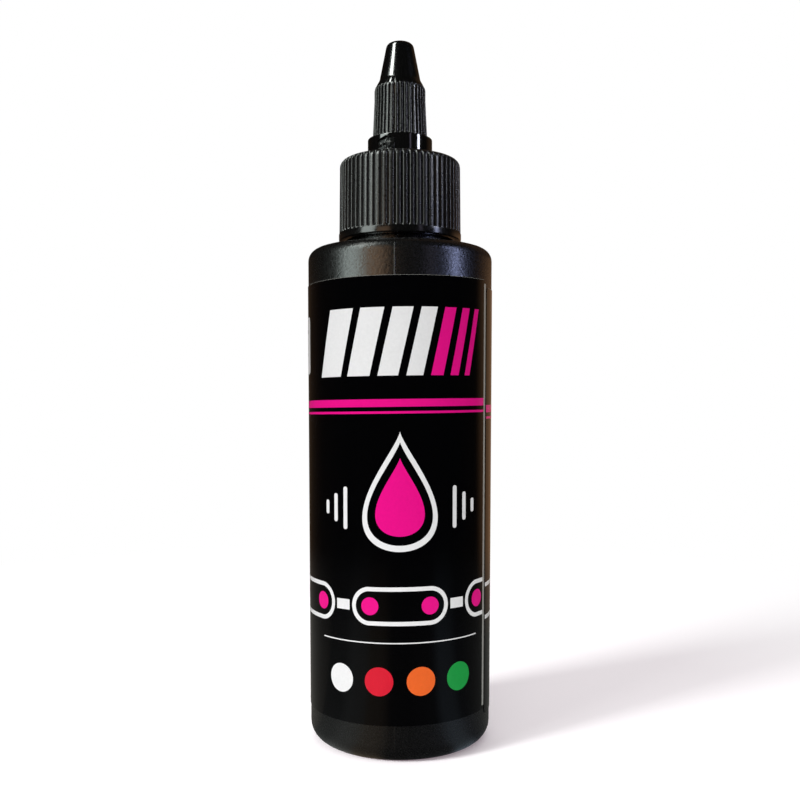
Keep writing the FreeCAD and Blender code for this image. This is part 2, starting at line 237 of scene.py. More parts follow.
def add_node(tree, kind, inputs=(), **settings):
    """Add one node with its settings, and fill its sockets with values or links."""
    node = tree.nodes.new(kind)
    for name, value in settings.items():
        setattr(node, name, value)
    for socket, value in dict(inputs).items():
        if isinstance(value, bpy.types.NodeSocket):
            tree.links.new(value, node.inputs[socket])
        else:
            node.inputs[socket].default_value = value
    return node


def new_material(name):
    """An empty material, its node tree and the Object coordinates that its patterns read."""
    material = bpy.data.materials.new(name)
    material.use_nodes = True
    tree = material.node_tree
    tree.nodes.clear()
    return material, tree, add_node(tree, "ShaderNodeTexCoord").outputs["Object"]


def shade(colour_value, factor):
    """A linear colour made darker or lighter."""
    return [min(channel * factor, 1.0) for channel in colour_value[:3]] + [1.0]


def grained(tree, place, size, detail):
    """Noise whose patches have a real size."""
    noisy = add_node(tree, "ShaderNodeTexNoise", {"Vector": place, "Scale": 1 / size, "Detail": detail})
    return noisy.outputs["Fac"]


def spread(tree, value, low, high, first, last):
    """Carry a value from between low and high to between first and last."""
    return add_node(tree, "ShaderNodeMapRange", {"Value": value, "From Min": low, "From Max": high,
                                                 "To Min": first, "To Max": last}).outputs["Result"]


def mottled(tree, pattern, base, dark, light):
    """A colour that a pattern makes darker and lighter."""
    return add_node(tree, "ShaderNodeMix", {0: pattern, 6: shade(base, dark), 7: shade(base, light)},
                    data_type="RGBA").outputs[2]


def bumped(tree, height, strength, depth, ground=None):
    """The normal of a surface that a pattern raises by a real depth, over the ground's own normal."""
    inputs = {"Height": height, "Strength": strength, "Distance": depth}
    if ground is not None:
        inputs["Normal"] = ground
    return add_node(tree, "ShaderNodeBump", inputs).outputs["Normal"]


def finished(material, tree, inputs):
    """Close a material with the one surface that takes these inputs."""
    surface = add_node(tree, "ShaderNodeBsdfPrincipled", inputs)
    add_node(tree, "ShaderNodeOutputMaterial", {"Surface": surface.outputs["BSDF"]})
    return material


def blown_hdpe(black):
    """Blow-moulded HDPE. The blasted mould leaves a fine grain that breaks up a satin sheen."""
    material, tree, place = new_material("Blown HDPE, satin grained")
    # The real grain is near 0.1 mm. It is drawn at 0.5 mm so that it shows.
    grain = grained(tree, place, 0.5 * MM, 2.0)
    # Cooling leaves the wall a little uneven over about a centimetre
    sway = grained(tree, place, 11 * MM, 1.0)
    waves = bumped(tree, sway, 0.35, 0.25 * MM)
    return finished(material, tree, {
        "Base Color": mottled(tree, grain, black, 0.9, 1.15),
        "Roughness": spread(tree, grain, 0.3, 0.7, 0.24, 0.34),
        "IOR": 1.54,
        "Specular IOR Level": 0.5,
        "Normal": bumped(tree, grain, 0.6, 0.075 * MM, waves)})


def printed_film(name, ink, roughness, specular):
    """Polypropylene label film under ink and varnish: dense flat colour with a smooth, thin gloss."""
    material, tree, place = new_material(name)
    # Winding and rubbing leave faint upright streaks about 1.5 mm apart
    stretched = add_node(tree, "ShaderNodeMapping", {"Vector": place, "Scale": (1.0, 1.0, 0.03)})
    streaks = grained(tree, stretched.outputs["Vector"], 1.5 * MM, 2.0)
    # Ink lies a little unevenly over a few tenths of a millimetre
    mottle = grained(tree, place, 0.6 * MM, 3.0)
    return finished(material, tree, {
        "Base Color": mottled(tree, mottle, ink, 0.94, 1.05),
        "Roughness": spread(tree, streaks, 0.35, 0.65, roughness * 0.8, roughness * 1.25),
        "IOR": 1.49,
        "Specular IOR Level": specular})


def moulded_pp(name, black, roughness, specular, relief_depth):
    """Injection-moulded polypropylene: even black whose sheen follows the polish of the tool."""
    material, tree, place = new_material(name)
    # Tool marks and flow leave patches of about half a millimetre
    patches = grained(tree, place, 0.5 * MM, 1.0)
    return finished(material, tree, {
        "Base Color": mottled(tree, patches, black, 0.8, 1.25),
        "Roughness": spread(tree, patches, 0.3, 0.7, roughness * 0.8, roughness * 1.2),
        "IOR": 1.49,
        "Specular IOR Level": specular,
        "Normal": bumped(tree, patches, 0.4, relief_depth)})


def foamed_pe(white):
    """Foamed polyethylene sheet: matt white with small cells that show as soft pits."""
    material, tree, place = new_material("Foamed polyethylene, cut sheet")
    # The cells are near 0.4 mm
    cells = add_node(tree, "ShaderNodeTexVoronoi", {"Vector": place, "Scale": 1 / (0.4 * MM)})
    pits = cells.outputs["Distance"]
    return finished(material, tree, {
        # The pits are also painted up to a tenth darker, as painted shade in them
        "Base Color": mottled(tree, pits, white, 0.9, 1.0),
        "Roughness": 0.75,
        "IOR": 1.5,
        "Normal": bumped(tree, pits, 0.6, 0.08 * MM)})


# Shapes


def soft_outline(corners, steps=6):
    """Points along a path of (radius, height, rounding) corners, with an arc at each rounded one."""
    points = []
    for index, (radius, height, rounding) in enumerate(corners):
        corner = Vector((radius, height))
        if not rounding:
            points.append(corner)
            continue
        back = (Vector(corners[index - 1][:2]) - corner).normalized()
        ahead = (Vector(corners[(index + 1) % len(corners)][:2]) - corner).normalized()
        half = back.angle(ahead) / 2
        centre = corner + (back + ahead).normalized() * rounding / math.sin(half)
        start = (corner + back * rounding / math.tan(half) - centre).normalized()
        end = (corner + ahead * rounding / math.tan(half) - centre).normalized()
        points += [centre + start.slerp(end, step / steps) * rounding for step in range(steps + 1)]
    return points


def turned(outline, steps, closed=True, start=0.0, angle=FULL_TURN):
    """Spin an outline of (radius, height) points round the z axis, from a bearing and through an angle."""
    bm = bmesh.new()
    rim = [bm.verts.new((radius, 0, height)) for radius, height in outline]
    ends = rim[1:] + rim[:1] if closed else rim[1:]
    edges = [bm.edges.new(pair) for pair in zip(rim, ends)]
    bmesh.ops.rotate(bm, verts=rim, cent=(0, 0, 0), matrix=Matrix.Rotation(start, 3, "Z"))
    bmesh.ops.spin(bm, geom=rim + edges, cent=(0, 0, 0), axis=(0, 0, 1), angle=angle, steps=steps,
                   use_merge=angle == FULL_TURN)
    bmesh.ops.remove_doubles(bm, verts=bm.verts, dist=WELD)
    bmesh.ops.dissolve_degenerate(bm, dist=WELD, edges=bm.edges)
    return bm


def ledge_points(radius, height, slope, ledge, shares):
    """Rows of points up a sloping wall, at shares of the ledge over which its grooves deepen."""
    return [(radius + slope * ledge * share, height + ledge * share, 0) for share in shares]


def cut_grooves(bm, count, floor_at, foot, ledge, top, floor_share, fullness):
    """Press evenly spaced upright grooves into a turned form, down to the floor's radius at each height.

    A groove deepens over the ledge above its foot and has run out at the top. Its floor takes its share of
    the pitch, and more fullness leaves flatter ribs between the grooves."""
    pitch = FULL_TURN / count
    run_out = 0.8 * MM
    for vert in bm.verts:
        radius = math.hypot(vert.co.x, vert.co.y)
        floor = floor_at(vert.co.z)
        if not foot < vert.co.z < top or radius <= floor:
            continue
        turn = math.atan2(vert.co.y, vert.co.x) / pitch
        away = 2 * abs(turn - round(turn))
        share = min((1 - away) / (1 - floor_share), 1.0) ** fullness
        share *= min((vert.co.z - foot) / ledge, (top - vert.co.z) / run_out, 1.0)
        pressed = radius - (radius - floor) * share
        vert.co.x *= pressed / radius
        vert.co.y *= pressed / radius


def helical_ridge(radius, reach, start, pitch, turns, root, crest):
    """A screw thread's ridge on a cylinder, right-handed, fading out at both ends.

    A negative reach stands inwards, for the thread in a bore."""
    sunk = -math.copysign(0.15 * MM, reach)
    section = [(-root / 2, sunk), (-crest / 2, reach), (crest / 2, reach), (root / 2, sunk)]
    section.append(section[0])
    facets_per_turn = 96
    faded_share = 0.07
    bm = bmesh.new()
    bmesh.ops.create_grid(bm, x_segments=int(facets_per_turn * turns), y_segments=len(section) - 1, size=0.5)
    for vert in bm.verts:
        along = vert.co.x + 0.5
        rise, out = section[round((vert.co.y + 0.5) * (len(section) - 1))]
        fade = min(1.0, along / faded_share, (1 - along) / faded_share)
        angle = FULL_TURN * turns * along
        reached = radius + (out * fade if out != sunk else out)
        vert.co = (reached * math.cos(angle), reached * math.sin(angle), start + pitch * turns * along + rise)
    bmesh.ops.remove_doubles(bm, verts=bm.verts, dist=WELD)
    bmesh.ops.holes_fill(bm, edges=[edge for edge in bm.edges if edge.is_boundary])
    return bm


def shown(bm, name, materials=()):
    """An object in the scene that holds the shape and its materials."""
    mesh = bpy.data.meshes.new(name)
    bm.to_mesh(mesh)
    bm.free()
    for material in materials:
        mesh.materials.append(material)
    piece = bpy.data.objects.new(name, mesh)
    bpy.context.scene.collection.objects.link(piece)
    return piece


def place_piece(bm, name, materials, body, replaced=(), sharp=38):
    """Show a shape with its faces outward, and hand it to the body that it moves with."""
    bmesh.ops.recalc_face_normals(bm, faces=bm.faces)
    piece = shown(bm, name, materials)
    piece.data.shade_smooth()
    piece.data.set_sharp_from_angle(angle=math.radians(sharp))
    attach(piece, body)
    if replaced:
        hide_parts(*replaced)
    return piece


def paint_where(bm, index, belongs):
    """Give a material index to the faces whose middle belongs."""
    for face in bm.faces:
        middle = face.calc_center_median()
        if belongs(math.hypot(middle.x, middle.y), middle.z):
            face.material_index = index


class LUBE_OT_bottle(bpy.types.Operator):
    """Blow the bottle, with its threaded neck and the parting line of its mould"""
    bl_idname = "lube.bottle"
    bl_label = "Bottle"

    def execute(self, context):
        b = context.scene.lube_bottle
        plastic = blown_hdpe(b.plastic)
        arc_steps = 8
        # The push-up's flank leans at 45 degrees, so its wall shifts by the tangent of half that
        dome = b.foot_radius - b.push_up
        shift = b.wall * math.tan(math.pi / 8)
        outside = [
            (0, b.push_up, 0),
            (dome, b.push_up, 1.2 * MM),
            (b.foot_radius, 0, 1.0 * MM),
            (b.radius, 0, b.base_corner),
            (b.radius, b.shoulder, b.shoulder_corner),
            (b.neck_radius, b.shoulder, 0.6 * MM),
            (b.neck_radius, b.neck_top, 0.3 * MM),
        ]
        inside = [
            (b.neck_bore, b.neck_top, 0.3 * MM),
            (b.neck_bore, b.shoulder - b.wall, 0.6 * MM),
            (b.radius - b.wall, b.shoulder - b.wall, b.shoulder_corner - b.wall),
            (b.radius - b.wall, b.wall, b.base_corner - b.wall),
            (b.foot_radius + shift, b.wall, 1.0 * MM),
            (dome + shift, b.push_up + b.wall, 1.2 * MM),
            (0, b.push_up + b.wall, 0),
        ]
        body = turned(soft_outline(outside + inside, arc_steps), BOTTLE_FACETS, closed=False)
        place_piece(body, "bottle_body", [plastic], "bottle", ["bottle"])

        thread_foot = b.neck_top - THREAD_LEAD - THREAD_TURNS * b.thread_pitch
        thread = helical_ridge(b.neck_radius, b.thread_reach, thread_foot, b.thread_pitch, THREAD_TURNS,
                               root=1.7 * MM, crest=0.6 * MM)
        place_piece(thread, "neck_thread", [plastic], "bottle")

        # The mould halves leave one line at the front and one opposite, from the middle of the base corner
        # to the neck's foot
        corner_middle = arc_steps + 1 + arc_steps // 2
        corners = outside[2:6] + [(b.neck_radius, b.shoulder + 3 * MM, 0)]
        path = soft_outline(corners, arc_steps)[corner_middle:]
        for name, side in (("front", 0), ("back", math.pi)):
            line = self.parting_line(path, b.parting_bearing + FRONT + side, b)
            place_piece(line, f"parting_line_{name}", [plastic], "bottle")
        return {"FINISHED"}

    def parting_line(self, path, angle, b):
        """A low ridge along the outline, its edges sunk in the wall."""
        width = b.parting_width / b.radius
        bm = turned(path, steps=4, closed=False, start=angle - width / 2, angle=width)
        bmesh.ops.recalc_face_normals(bm, faces=bm.faces)
        outward = Vector((math.cos(angle), math.sin(angle), 0))
        if sum(face.normal.dot(outward) for face in bm.faces) < 0:
            bmesh.ops.reverse_faces(bm, faces=bm.faces)
        bm.normal_update()
        moves = []
        for vert in bm.verts:
            turn = math.atan2(vert.co.y, vert.co.x) - angle
            turn = (turn + math.pi) % FULL_TURN - math.pi
            crown = 1 - (2 * abs(turn) / width) ** 2
            moves.append((vert, vert.normal * (b.parting_rise * 2 * crown - b.parting_rise)))
        for vert, move in moves:
            vert.co += move
        bmesh.ops.solidify(bm, geom=bm.faces, thickness=0.2 * MM)
        return bm


class LUBE_OT_label(bpy.types.Operator):
    """Wrap the label's film round the bottle, with its seam and a painted highlight along its cut end and its
    upper edge
    """
    bl_idname = "lube.label"
    bl_label = "Label film"

    def execute(self, context):
        s = context.scene.lube_label
        film = printed_film("Label film, printed black", s.ground, **VARNISH)
        # Pale film painted as the highlights along the cut end and the upper edge
        highlight_film = printed_film("Label film, bare cut edge", s.cut_edge, 0.35, 0.4)
        inner = s.outside - s.film
        right, left = label_ends(s)
        outline = ((inner, s.bottom), (s.outside, s.bottom), (s.outside, s.top), (inner, s.top))
        bm = turned(outline, FILM_FACETS, start=FRONT + left / s.outside, angle=(right - left) / s.outside)
        bmesh.ops.holes_fill(bm, edges=[edge for edge in bm.edges if edge.is_boundary])
        middle = (s.bottom + s.top) / 2
        for vert in bm.verts:
            along = distance_along(vert.co, s)
            inset = s.corner - min(along - left, right - along, s.corner)
            drop = s.corner - math.sqrt(max(s.corner ** 2 - inset ** 2, 0.0))
            vert.co.z += math.copysign(drop, middle - vert.co.z) + s.skew * along
        place_piece(bm, "label_film", [film], "bottle", ["wrap_label"])

        # Painted highlights in pale film: a strip along the right end and a hair along the upper edge
        strip, strip_inset, hair, margin = 0.9 * MM, 0.8 * MM, 0.05 * MM, 0.04 * MM
        cut = bmesh.new()
        add_field(cut, right - strip, right - margin, s.bottom + strip_inset, s.top - strip_inset)
        add_field(cut, left + s.corner, right - s.corner, s.top - hair, s.top - margin / 4)
        place_piece(wrapped(cut, s, 1), "label_cut_edge", [highlight_film], "bottle")
        return {"FINISHED"}


def label_ends(s):
    """Distances from the front to the label's right and left end, along its outside."""
    right = s.seam_bearing * s.outside - s.seam_gap / 2
    return right, right - FULL_TURN * s.outside + s.seam_gap


def distance_along(point, s):
    """Distance of a point from the front, along the label's outside, on the label's own side of the seam."""
    right, left = label_ends(s)
    along = (math.atan2(point.y, point.x) - FRONT) * s.outside
    lap = FULL_TURN * s.outside
    while along > right + s.seam_gap / 4:
        along -= lap
    return along if along >= left - s.seam_gap / 4 else along + lap


def add_field(bm, left, right, bottom, top, slant=0.0, corner=0.0):
    """Lay a flat field of colour on the unrolled label, its upper edge moved right by the slant."""
    size = Matrix.Diagonal((right - left, top - bottom, 1, 1))
    middle = Matrix.Translation(((left + right) / 2, 0, (bottom + top) / 2))
    made = bmesh.ops.create_grid(bm, x_segments=1, y_segments=1, size=0.5,
                                 matrix=middle @ Matrix.Rotation(math.pi / 2, 4, "X") @ size)
    for vert in made["verts"]:
        vert.co.x += slant * (vert.co.z - bottom) / (top - bottom)
    if corner:
        bmesh.ops.bevel(bm, geom=made["verts"], offset=corner, segments=6, profile=0.5, affect="VERTICES",
                        material=-1)


def add_lines(bm, left, top, longest, shares, pitch, thickness):
    """Lay lines under each other from a common left edge, each a share of the longest."""
    for count, share in enumerate(shares):
        high = top - count * pitch
        add_field(bm, left, left + longest * share, high - thickness, high)


def add_disc(bm, along, height, radius):
    """Lay a round spot on the unrolled label."""
    place = Matrix.Translation((along, 0, height)) @ Matrix.Rotation(math.pi / 2, 4, "X")
    bmesh.ops.create_circle(bm, cap_ends=True, radius=radius, segments=40, matrix=place)


def edges_of(made):
    """The edges of a new circle, each once and always in the same order."""
    return list(dict.fromkeys(edge for vert in made["verts"] for edge in vert.link_edges))


def add_link(bm, along, height, half_length, radius, line):
    """Lay the outline of a chain link, round at both ends, on the unrolled label."""
    loops = []
    for size in (radius, radius - line):
        made = bmesh.ops.create_circle(bm, cap_ends=False, radius=size, segments=48,
                                       matrix=Matrix.Rotation(math.pi / 2, 4, "X"))
        for vert in made["verts"]:
            vert.co.x += along + math.copysign(half_length, vert.co.x)
            vert.co.z += height
        loops += edges_of(made)
    bmesh.ops.bridge_loops(bm, edges=loops)


def drop_loop(bm, height, width, tall):
    """The closed edge of a drop with its point up, at the front: a circle drawn in towards the top."""
    made = bmesh.ops.create_circle(bm, cap_ends=False, radius=1.0, segments=72)
    # The drawn-in circle is narrower than the one it comes from
    reach = 1.3 * width / 2
    for vert in made["verts"]:
        turn = math.atan2(vert.co.x, vert.co.y) % FULL_TURN
        slim = abs(math.sin(turn / 2)) ** 1.6
        vert.co = (reach * math.sin(turn) * slim, 0, height + tall / 2 * math.cos(turn))
    return edges_of(made)


def slice_upright(bm, along, side=1, clear=False):
    """Cut flat shapes along an upright line, and clear what lies past it on that side if asked to."""
    bmesh.ops.bisect_plane(bm, geom=bm.verts[:] + bm.edges[:] + bm.faces[:], plane_co=(along, 0, 0),
                           plane_no=(side, 0, 0), clear_outer=clear)


def wrapped(bm, s, layer):
    """Roll flat shapes round the label, as ink of a real thickness."""
    right, left = label_ends(s)
    margin, step = 0.03 * MM, 0.8 * MM
    ink_pitch, ink_thickness = 0.016 * MM, 0.008 * MM
    # The ends of the label cut the print, and upright cuts let it follow the curve
    slice_upright(bm, right - margin, 1, clear=True)
    slice_upright(bm, left + margin, -1, clear=True)
    low = min(vert.co.x for vert in bm.verts)
    high = max(vert.co.x for vert in bm.verts)
    for count in range(math.ceil(low / step), math.floor(high / step) + 1):
        slice_upright(bm, count * step)
    bm.normal_update()
    bmesh.ops.reverse_faces(bm, faces=[face for face in bm.faces if face.normal.y > 0])
    radius = s.outside + layer * ink_pitch
    for vert in bm.verts:
        along = vert.co.x
        angle = FRONT + along / s.outside
        vert.co = (radius * math.cos(angle), radius * math.sin(angle), vert.co.z + s.skew * along)
    bm.normal_update()
    bmesh.ops.solidify(bm, geom=bm.faces, thickness=ink_thickness)
    return bm


class LUBE_OT_label_print(bpy.types.Operator):
    """Print the label: slanted bars, a drop, a run of chain links and plain spots of colour"""
    bl_idname = "lube.label_print"
    bl_label = "Label print"

    def execute(self, context):
        s = context.scene.lube_label
        inks = {name: bmesh.new() for name in ("white", "pink", "black", "green", "orange", "red")}
        self.lay_bars(inks, *label_ends(s))
        self.lay_drop(inks)
        self.lay_links(inks)
        self.lay_spots(inks)
        self.lay_panels(inks)
        for name, bm in inks.items():
            # Black is printed over the white panel, and is the film's own black
            ink, layer = (s.ground, 2) if name == "black" else (getattr(s, name), 1)
            material = printed_film(f"Label ink, {name}", ink, **VARNISH)
            place_piece(wrapped(bm, s, layer), f"label_print_{name}", [material], "bottle")
        return {"FINISHED"}

    def lay_bars(self, inks, right, left):
        """Slanted bars that thin out to the right, the last ones pink, over two lines right round."""
        foot, top, slant, gap = 82 * MM, 96 * MM, 3.2 * MM, 1.7 * MM
        start = -19.5 * MM
        for index, width in enumerate((6.2, 5.2, 4.3, 3.5, 2.8, 2.1, 1.5)):
            end = start + width * MM
            add_field(inks["white" if index < 4 else "pink"], start, end, foot, top, slant=slant)
            start = end + gap
        for low, high in ((75.6, 77.2), (74.2, 74.7)):
            add_field(inks["pink"], left, right, low * MM, high * MM)

    def lay_drop(self, inks):
        """A drop with a white outline and a pink core, and three short bars at each side of it."""
        white, pink = inks["white"], inks["pink"]
        outer = drop_loop(white, 58 * MM, 18 * MM, 25 * MM)
        inner = drop_loop(white, 57.6 * MM, 15.6 * MM, 21.6 * MM)
        bmesh.ops.bridge_loops(white, edges=outer + inner)
        bmesh.ops.edgeloop_fill(pink, edges=drop_loop(pink, 56.9 * MM, 11.6 * MM, 16.4 * MM))
        height, half_width, nearest, pitch = 54.5 * MM, 0.5 * MM, 12.2 * MM, 2.6 * MM
        for side in (-1, 1):
            for count, tall in enumerate((9.0, 6.0, 3.0)):
                middle = side * (nearest + pitch * count)
                half = tall * MM / 2
                add_field(white, middle - half_width, middle + half_width, height - half, height + half,
                          corner=0.45 * MM)

    def lay_links(self, inks):
        """Chain links right round, cut by the seam, with a bar between them and a pink pin at each end."""
        pitch, height, half_length, radius = 25.8 * MM, 34 * MM, 6.45 * MM, 4.1 * MM
        bar_gap, bar_half = 0.65 * MM, 1.1 * MM
        for count in range(-4, 2):
            middle = count * pitch
            add_link(inks["white"], middle, height, half_length, radius, 0.9 * MM)
            bar_start = half_length + radius + bar_gap
            add_field(inks["white"], middle + bar_start, middle + pitch - bar_start, height - bar_half,
                      height + bar_half)
            for side in (-1, 1):
                add_disc(inks["pink"], middle + side * half_length, height, 1.9 * MM)

    def lay_spots(self, inks):
        """A thin line, and a row of spots of colour under it."""
        add_field(inks["white"], -19 * MM, 19 * MM, 26.1 * MM, 26.35 * MM)
        for index, name in enumerate(("white", "red", "orange", "green")):
            add_disc(inks[name], (index - 1.5) * 9 * MM, 18 * MM, 3.1 * MM)

    def lay_panels(self, inks):
        """At the side, black lines on a white panel. At the back, white lines, and blocks under them."""
        corner = 1.0 * MM
        add_field(inks["white"], -50 * MM, -26.3 * MM, 83 * MM, 95.5 * MM, corner=corner)
        add_lines(inks["black"], -48.2 * MM, 93 * MM, 20 * MM, (0.95, 0.8, 0.9, 0.55), 2.6 * MM, 0.8 * MM)
        uneven = [0.72 + 0.26 * math.sin(2.3 * count) for count in range(8)]
        left, right = -97 * MM, -62 * MM
        add_lines(inks["white"], left, 94.6 * MM, 38 * MM, uneven, 2.0 * MM, 0.6 * MM)
        add_field(inks["pink"], left, right, 56 * MM, 62 * MM, corner=corner)
        add_field(inks["pink"], left, -80.5 * MM, 46 * MM, 52 * MM, corner=corner)
        add_field(inks["white"], -78.5 * MM, right, 46 * MM, 52 * MM, corner=corner)


class LUBE_OT_liner(bpy.types.Operator):
    """Cut the foamed liner that seals the neck"""
    bl_idname = "lube.liner"
    bl_label = "Sealing liner"

    def execute(self, context):
        c = context.scene.lube_closure
        low, high, rim = LINER_LOW[2], LINER_HIGH[2], LINER_HIGH[0]
        soft = 0.18 * MM
        ring = turned(soft_outline([(c.liner_bore, low, soft), (rim, low, soft), (rim, high, soft),
                                    (c.liner_bore, high, soft)], steps=4), LINER_FACETS)
        place_piece(ring, "liner_ring", [foamed_pe(c.foam)], "liner", ["sealing_liner"])
        return {"FINISHED"}


class LUBE_OT_cap(bpy.types.Operator):
    """Mould the ribbed cap with its collar, spout, ports, pin and thread"""
    bl_idname = "lube.cap"
    bl_label = "Screw cap"

    def execute(self, context):
        c = context.scene.lube_closure
        b = context.scene.lube_bottle
        satin = moulded_pp("Moulded polypropylene, satin cap", c.plastic, 0.32, 0.5, 0.01 * MM)
        smooth = moulded_pp("Moulded polypropylene, smooth band", c.plastic, 0.17, 0.5, 0.006 * MM)
        polished = moulded_pp("Moulded polypropylene, polished collar", c.plastic, 0.09, 0.8, 0.003 * MM)
        band_top = c.bottom + c.band
        under = c.deck - c.deck_thickness
        collar_top = c.deck + c.collar_height
        spout_top = c.deck + c.spout_height
        web_under = spout_top - 1.0 * MM
        ledge = 0.6 * MM
        crest = c.radius - 0.1 * MM
        slope = (c.top_radius - crest) / (c.deck - band_top)
        outline = soft_outline([
            (c.bore, c.bottom, 0.25 * MM),
            (c.radius, c.bottom, 0.3 * MM),
            (c.radius, band_top, 0.04 * MM),
            *ledge_points(crest, band_top, slope, ledge, (0.0, 0.25, 0.5, 0.75, 1.0)),
            (c.top_radius, c.deck, c.corner),
            (c.collar_radius, c.deck, 0.25 * MM),
            (c.collar_radius, collar_top, 0.2 * MM),
            (c.collar_inside, collar_top, 0.2 * MM),
            (c.collar_inside, c.deck, 0),
            (c.spout_radius, c.deck, 0),
            (c.spout_radius, spout_top, 0.3 * MM),
            (c.pin_radius, spout_top, 0.15 * MM),
            (c.pin_radius, CAP_HIGH[2], 0.2 * MM),
            (0, CAP_HIGH[2], 0),
            (0, web_under, 0),
            (c.spout_bore, web_under, 0),
            (c.spout_bore, under, 0.3 * MM),
            (c.bore, under, 0.4 * MM),
        ], steps=5)
        bm = turned(outline, c.ribs * RIB_FACETS)
        cut_grooves(bm, c.ribs, lambda z: crest + slope * (z - band_top) - c.rib_depth,
                    band_top, ledge, c.deck + c.corner, floor_share=0.2, fullness=5.0)
        paint_where(bm, 1, lambda radius, z: z > c.deck + 0.05 * MM)
        paint_where(bm, 2, lambda radius, z: z < band_top)
        cap = place_piece(bm, "cap_moulding", [satin, polished, smooth], "closure",
                          ["screw_cap"])
        self.drill_ports(context, cap, c, (web_under + spout_top) / 2)

        # Half a pitch under the neck's ridge, so that it runs in the gap between that ridge's turns
        thread_foot = b.neck_top - THREAD_LEAD - (THREAD_TURNS + 0.5) * b.thread_pitch
        thread = helical_ridge(c.bore, -0.85 * MM, thread_foot, b.thread_pitch, THREAD_TURNS,
                               root=1.5 * MM, crest=0.5 * MM)
        place_piece(thread, "cap_thread", [satin], "closure")
        return {"FINISHED"}

    def drill_ports(self, context, cap, c, height):
        """Cut the four round ports through the web at the top of the spout."""
        bm = bmesh.new()
        middle = (c.pin_radius + c.spout_bore) / 2
        for quarter in range(4):
            around = Matrix.Rotation(quarter * math.pi / 2, 4, "Z")
            bmesh.ops.create_cone(bm, cap_ends=True, segments=24, radius1=c.port_radius,
                                  radius2=c.port_radius, depth=1.6 * MM,
                                  matrix=around @ Matrix.Translation((middle, 0, height)))
        drills = shown(bm, "port_drills")
        cut = cap.modifiers.new("Ports", "BOOLEAN")
        cut.object = drills
        cut.solver = "EXACT"
        drilled = bpy.data.meshes.new_from_object(cap.evaluated_get(context.evaluated_depsgraph_get()))
        cap.modifiers.clear()
        cap.data = drilled
        drilled.name = "cap_moulding"
        bpy.data.objects.remove(drills)


# Crumbs of torn plastic at the lower left of the tear tab's stub, as shares of it: across, up and size
CRUMBS = (
    (0.19, 0.6, 0.07), (0.08, 0.4, 0.06), (0.07, 0.23, 0.05), (0.25, 0.22, 0.05), (0.35, 0.3, 0.06),
    (0.46, 0.3, 0.055), (0.46, 0.42, 0.04), (0.63, 0.24, 0.06), (0.68, 0.1, 0.06), (0.4, 0.63, 0.05))


def climb(value, width):
    """Rise from 0 to 1 while a value goes from 0 to a width."""
    return min(max(value / width, 0.0), 1.0)


class LUBE_OT_tear_tab(bpy.types.Operator):
    """Leave the torn stub of the tear tab on the collar"""
    bl_idname = "lube.tear_tab"
    bl_label = "Tear tab stub"

    def execute(self, context):
        c = context.scene.lube_closure
        torn = moulded_pp("Moulded polypropylene, torn tab", c.plastic, 0.26, 0.5, 0.01 * MM)
        rooted, sunk = 0.15 * MM, 0.1 * MM
        bm = bmesh.new()
        bmesh.ops.create_grid(bm, x_segments=80, y_segments=64, size=0.5)
        for vert in bm.verts:
            across, up = vert.co.x + 0.5, vert.co.y + 0.5
            angle = FRONT + c.tab_bearing + (across - 0.5) * c.tab_angle
            reach = c.tab_reach * self.relief(across, up) + rooted
            radius = c.collar_radius - rooted + reach * self.edge(across, up)
            height = c.deck - sunk + up * (self.torn_top(across, c.tab_height) + sunk)
            vert.co = (radius * math.cos(angle), radius * math.sin(angle), height)
        bm.normal_update()
        if sum(face.normal.y for face in bm.faces) > 0:
            bmesh.ops.reverse_faces(bm, faces=bm.faces)
        bmesh.ops.solidify(bm, geom=bm.faces, thickness=0.3 * MM)
        place_piece(bm, "tear_tab_stub", [torn], "closure", sharp=60)
        return {"FINISHED"}

    def torn_top(self, across, tallest):
        """The torn edge rises in a wave to the right and falls off."""
        wave = 0.76 + 0.24 * math.sin(math.pi * min(across / 1.36, 0.74)) - 0.5 * max(across - 0.8, 0.0)
        return tallest * wave + 0.07 * MM * math.sin(14 * across)

    def relief(self, across, up):
        """How far the stub stands out, as a share of its reach."""
        # A thin lip curls out along the torn edge, and the tongue under it ends in a slanting lower edge
        lip = math.exp(-((up - 0.95) / 0.035) ** 2) * climb(0.88 - across, 0.12)
        over = climb(up - 0.2 - 1.3 * max(across - 0.8, 0.0), 0.07)
        under = climb(0.66 + 0.06 * across - up, 0.05)
        tongue = 0.5 * over * under * climb(across - 0.5, 0.1)
        crumbs = sum(math.exp(-((across - x) ** 2 + (0.9 * (up - y)) ** 2) / size ** 2)
                     for x, y, size in CRUMBS)
        rough = 0.12 * noise.noise(Vector((across * 9, up * 7, 0.4)))
        return max(0.15 + max(lip, tongue) + 0.7 * crumbs + rough, 0.0)

    def edge(self, across, up):
        """Rounds the stub off into the collar at its sides and its top."""
        return max(min(across / 0.08, (1 - across) / 0.05, (1 - up) / 0.03, 1.0), 0.0) ** 0.5


